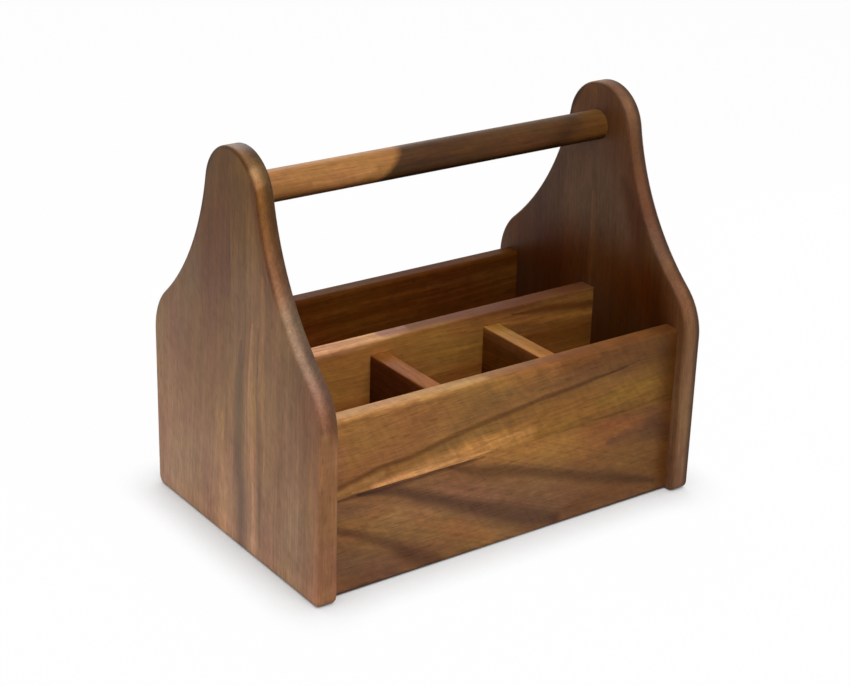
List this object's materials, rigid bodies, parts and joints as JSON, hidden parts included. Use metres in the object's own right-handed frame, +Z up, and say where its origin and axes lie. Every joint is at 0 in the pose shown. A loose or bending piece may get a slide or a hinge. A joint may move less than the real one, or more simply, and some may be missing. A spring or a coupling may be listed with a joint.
{
  "type": "cutlery caddy",
  "caption": "Wooden tote for knives and other cutlery, with shaped ends, a round carrying handle and bays formed by a long divider and cross dividers.",
  "frame": {"origin": "centre of the footprint, on the surface that the caddy stands on", "axes": "+X along the handle, -Y towards the front with its small bays, +Z up"},
  "size_m": [0.28, 0.19, 0.2475],
  "materials": {
    "end_boards": "satin lacquer over vertical grain",
    "side_boards": "satin lacquer over lengthwise grain",
    "divider_boards": "satin lacquer over lengthwise grain",
    "base_board": "satin lacquer",
    "handle_wood": "satin lacquer over turned wood",
    "pin_wood": "bare"
  },
  "bodies": {
    "root": {"left_end_front_stave": "end_boards", "left_end_back_stave": "end_boards", "right_end_front_stave": "end_boards", "right_end_back_stave": "end_boards", "front_lower_stave": "side_boards", "front_upper_stave": "side_boards", "back_panel": "side_boards", "long_divider": "divider_boards", "left_cross_divider": "divider_boards", "right_cross_divider": "divider_boards", "base_panel": "base_board", "handle_bar": "handle_wood", "front_left_pins": "pin_wood", "front_right_pins": "pin_wood", "back_left_pins": "pin_wood", "back_right_pins": "pin_wood", "long_divider_left_pins": "pin_wood", "long_divider_right_pins": "pin_wood", "left_cross_divider_pins": "pin_wood", "right_cross_divider_pins": "pin_wood"}
  },
  "joints": []
}
